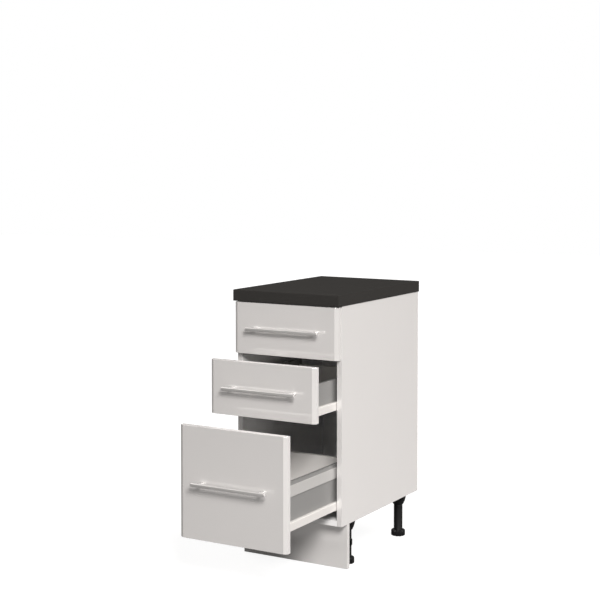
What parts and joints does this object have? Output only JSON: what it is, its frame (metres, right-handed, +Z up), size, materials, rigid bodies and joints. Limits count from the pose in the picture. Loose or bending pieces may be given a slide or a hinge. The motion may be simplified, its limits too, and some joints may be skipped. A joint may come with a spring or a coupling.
{
  "type": "base cabinet with drawers",
  "caption": "Narrow kitchen base cabinet with a dark worktop, white gloss drawer fronts with steel bar handles, roller runners, a plinth board and screw-in legs.",
  "frame": {"origin": "on the floor, below the middle of the whole object's bounding box, with the drawers open as pictured", "axes": "+X to the cabinet's right as seen from the front, +Y from the fronts to the wall, +Z up out of the worktop"},
  "size_m": [0.404, 0.949, 0.908],
  "materials": {
    "white_gloss": "white high-gloss laminate on board",
    "front_lacquer": "white high-gloss lacquer on board",
    "plinth_gloss": "white high-gloss laminate on board",
    "white_board": "white melamine on board",
    "hardboard": "white-faced hardboard",
    "dark_laminate": "matt anthracite laminate on board",
    "black_plastic": "moulded black plastic, fine texture",
    "white_steel": "white powder coat, smooth",
    "grey_steel": "grey powder coat, satin",
    "handle_steel": "fine brushed along the bar",
    "roller_plastic": "off-white acetal"
  },
  "bodies": {
    "carcass": {"side_panel_left": "white_gloss", "side_panel_right": "white_gloss", "bottom_panel": "white_board", "top_rail_front": "white_board", "top_rail_rear": "white_board", "back_panel": "hardboard", "worktop": "dark_laminate", "plinth_board": "plinth_gloss", "leg_socket_front_left": "black_plastic", "leg_socket_front_right": "black_plastic", "leg_socket_rear_left": "black_plastic", "leg_socket_rear_right": "black_plastic", "cabinet_rail_1_left": "white_steel", "cabinet_rail_1_right": "white_steel", "cabinet_rail_2_left": "white_steel", "cabinet_rail_2_right": "white_steel", "cabinet_rail_3_left": "white_steel", "cabinet_rail_3_right": "white_steel"},
    "drawer_1": {"drawer_front_1": "front_lacquer", "handle_1": "handle_steel", "drawer_bottom_1": "white_board", "drawer_back_1": "white_board", "drawer_side_1_left": "grey_steel", "drawer_side_1_right": "grey_steel", "drawer_rail_1_left": "white_steel", "drawer_rail_1_right": "white_steel"},
    "drawer_2": {"drawer_front_2": "front_lacquer", "handle_2": "handle_steel", "drawer_bottom_2": "white_board", "drawer_back_2": "white_board", "drawer_side_2_left": "grey_steel", "drawer_side_2_right": "grey_steel", "drawer_rail_2_left": "white_steel", "drawer_rail_2_right": "white_steel"},
    "drawer_3": {"drawer_front_3": "front_lacquer", "handle_3": "handle_steel", "drawer_bottom_3": "white_board", "drawer_back_3": "white_board", "drawer_side_3_left": "grey_steel", "drawer_side_3_right": "grey_steel", "drawer_rail_3_left": "white_steel", "drawer_rail_3_right": "white_steel", "gallery_rail_left": "white_steel", "gallery_rail_right": "white_steel"},
    "cabinet_roller_1_left": {"cabinet_roller_1_left": "roller_plastic"},
    "drawer_roller_1_left": {"drawer_roller_1_left": "roller_plastic"},
    "cabinet_roller_1_right": {"cabinet_roller_1_right": "roller_plastic"},
    "drawer_roller_1_right": {"drawer_roller_1_right": "roller_plastic"},
    "cabinet_roller_2_left": {"cabinet_roller_2_left": "roller_plastic"},
    "drawer_roller_2_left": {"drawer_roller_2_left": "roller_plastic"},
    "cabinet_roller_2_right": {"cabinet_roller_2_right": "roller_plastic"},
    "drawer_roller_2_right": {"drawer_roller_2_right": "roller_plastic"},
    "cabinet_roller_3_left": {"cabinet_roller_3_left": "roller_plastic"},
    "drawer_roller_3_left": {"drawer_roller_3_left": "roller_plastic"},
    "cabinet_roller_3_right": {"cabinet_roller_3_right": "roller_plastic"},
    "drawer_roller_3_right": {"drawer_roller_3_right": "roller_plastic"},
    "leg_foot_front_left": {"leg_foot_front_left": "black_plastic"},
    "leg_foot_front_right": {"leg_foot_front_right": "black_plastic"},
    "leg_foot_rear_left": {"leg_foot_rear_left": "black_plastic"},
    "leg_foot_rear_right": {"leg_foot_rear_right": "black_plastic"}
  },
  "joints": [
    {"name": "drawer_1_slide", "type": "slide", "parent": "carcass", "child": "drawer_1", "axis": [0, -1, 0], "range_m": [0, 0.375]},
    {"name": "drawer_2_slide", "type": "slide", "parent": "carcass", "child": "drawer_2", "axis": [0, -1, 0], "range_m": [-0.144, 0.231]},
    {"name": "drawer_3_slide", "type": "slide", "parent": "carcass", "child": "drawer_3", "axis": [0, -1, 0], "range_m": [-0.318, 0.057]},
    {"name": "cabinet_roller_1_left_turn", "type": "hinge", "parent": "carcass", "child": "cabinet_roller_1_left", "pos_m": [-0.1755, -0.0815, 0.7232], "axis": [1, 0, 0], "continuous": true},
    {"name": "drawer_roller_1_left_turn", "type": "hinge", "parent": "drawer_1", "child": "drawer_roller_1_left", "pos_m": [-0.1755, 0.3825, 0.7158], "axis": [1, 0, 0], "continuous": true},
    {"name": "cabinet_roller_1_right_turn", "type": "hinge", "parent": "carcass", "child": "cabinet_roller_1_right", "pos_m": [0.1755, -0.0815, 0.7232], "axis": [1, 0, 0], "continuous": true},
    {"name": "drawer_roller_1_right_turn", "type": "hinge", "parent": "drawer_1", "child": "drawer_roller_1_right", "pos_m": [0.1755, 0.3825, 0.7158], "axis": [1, 0, 0], "continuous": true},
    {"name": "cabinet_roller_2_left_turn", "type": "hinge", "parent": "carcass", "child": "cabinet_roller_2_left", "pos_m": [-0.1755, -0.0815, 0.5452], "axis": [1, 0, 0], "continuous": true},
    {"name": "drawer_roller_2_left_turn", "type": "hinge", "parent": "drawer_2", "child": "drawer_roller_2_left", "pos_m": [-0.1755, 0.2385, 0.5378], "axis": [1, 0, 0], "continuous": true},
    {"name": "cabinet_roller_2_right_turn", "type": "hinge", "parent": "carcass", "child": "cabinet_roller_2_right", "pos_m": [0.1755, -0.0815, 0.5452], "axis": [1, 0, 0], "continuous": true},
    {"name": "drawer_roller_2_right_turn", "type": "hinge", "parent": "drawer_2", "child": "drawer_roller_2_right", "pos_m": [0.1755, 0.2385, 0.5378], "axis": [1, 0, 0], "continuous": true},
    {"name": "cabinet_roller_3_left_turn", "type": "hinge", "parent": "carcass", "child": "cabinet_roller_3_left", "pos_m": [-0.1755, -0.0815, 0.2172], "axis": [1, 0, 0], "continuous": true},
    {"name": "drawer_roller_3_left_turn", "type": "hinge", "parent": "drawer_3", "child": "drawer_roller_3_left", "pos_m": [-0.1755, 0.0645, 0.2098], "axis": [1, 0, 0], "continuous": true},
    {"name": "cabinet_roller_3_right_turn", "type": "hinge", "parent": "carcass", "child": "cabinet_roller_3_right", "pos_m": [0.1755, -0.0815, 0.2172], "axis": [1, 0, 0], "continuous": true},
    {"name": "drawer_roller_3_right_turn", "type": "hinge", "parent": "drawer_3", "child": "drawer_roller_3_right", "pos_m": [0.1755, 0.0645, 0.2098], "axis": [1, 0, 0], "continuous": true},
    {"name": "leg_foot_front_left_height", "type": "slide", "parent": "carcass", "child": "leg_foot_front_left", "axis": [0, 0, -1], "range_m": [-0.008, 0.02]},
    {"name": "leg_foot_front_right_height", "type": "slide", "parent": "carcass", "child": "leg_foot_front_right", "axis": [0, 0, -1], "range_m": [-0.008, 0.02]},
    {"name": "leg_foot_rear_left_height", "type": "slide", "parent": "carcass", "child": "leg_foot_rear_left", "axis": [0, 0, -1], "range_m": [-0.008, 0.02]},
    {"name": "leg_foot_rear_right_height", "type": "slide", "parent": "carcass", "child": "leg_foot_rear_right", "axis": [0, 0, -1], "range_m": [-0.008, 0.02]}
  ],
  "couplings": [
    {"joint": "cabinet_roller_1_left_turn", "follows": "drawer_1_slide", "rad_per_m": 100},
    {"joint": "drawer_roller_1_left_turn", "follows": "drawer_1_slide", "rad_per_m": 111.11},
    {"joint": "cabinet_roller_1_right_turn", "follows": "drawer_1_slide", "rad_per_m": 100},
    {"joint": "drawer_roller_1_right_turn", "follows": "drawer_1_slide", "rad_per_m": 111.11},
    {"joint": "cabinet_roller_2_left_turn", "follows": "drawer_2_slide", "rad_per_m": 100},
    {"joint": "drawer_roller_2_left_turn", "follows": "drawer_2_slide", "rad_per_m": 111.11},
    {"joint": "cabinet_roller_2_right_turn", "follows": "drawer_2_slide", "rad_per_m": 100},
    {"joint": "drawer_roller_2_right_turn", "follows": "drawer_2_slide", "rad_per_m": 111.11},
    {"joint": "cabinet_roller_3_left_turn", "follows": "drawer_3_slide", "rad_per_m": 100},
    {"joint": "drawer_roller_3_left_turn", "follows": "drawer_3_slide", "rad_per_m": 111.11},
    {"joint": "cabinet_roller_3_right_turn", "follows": "drawer_3_slide", "rad_per_m": 100},
    {"joint": "drawer_roller_3_right_turn", "follows": "drawer_3_slide", "rad_per_m": 111.11}
  ]
}
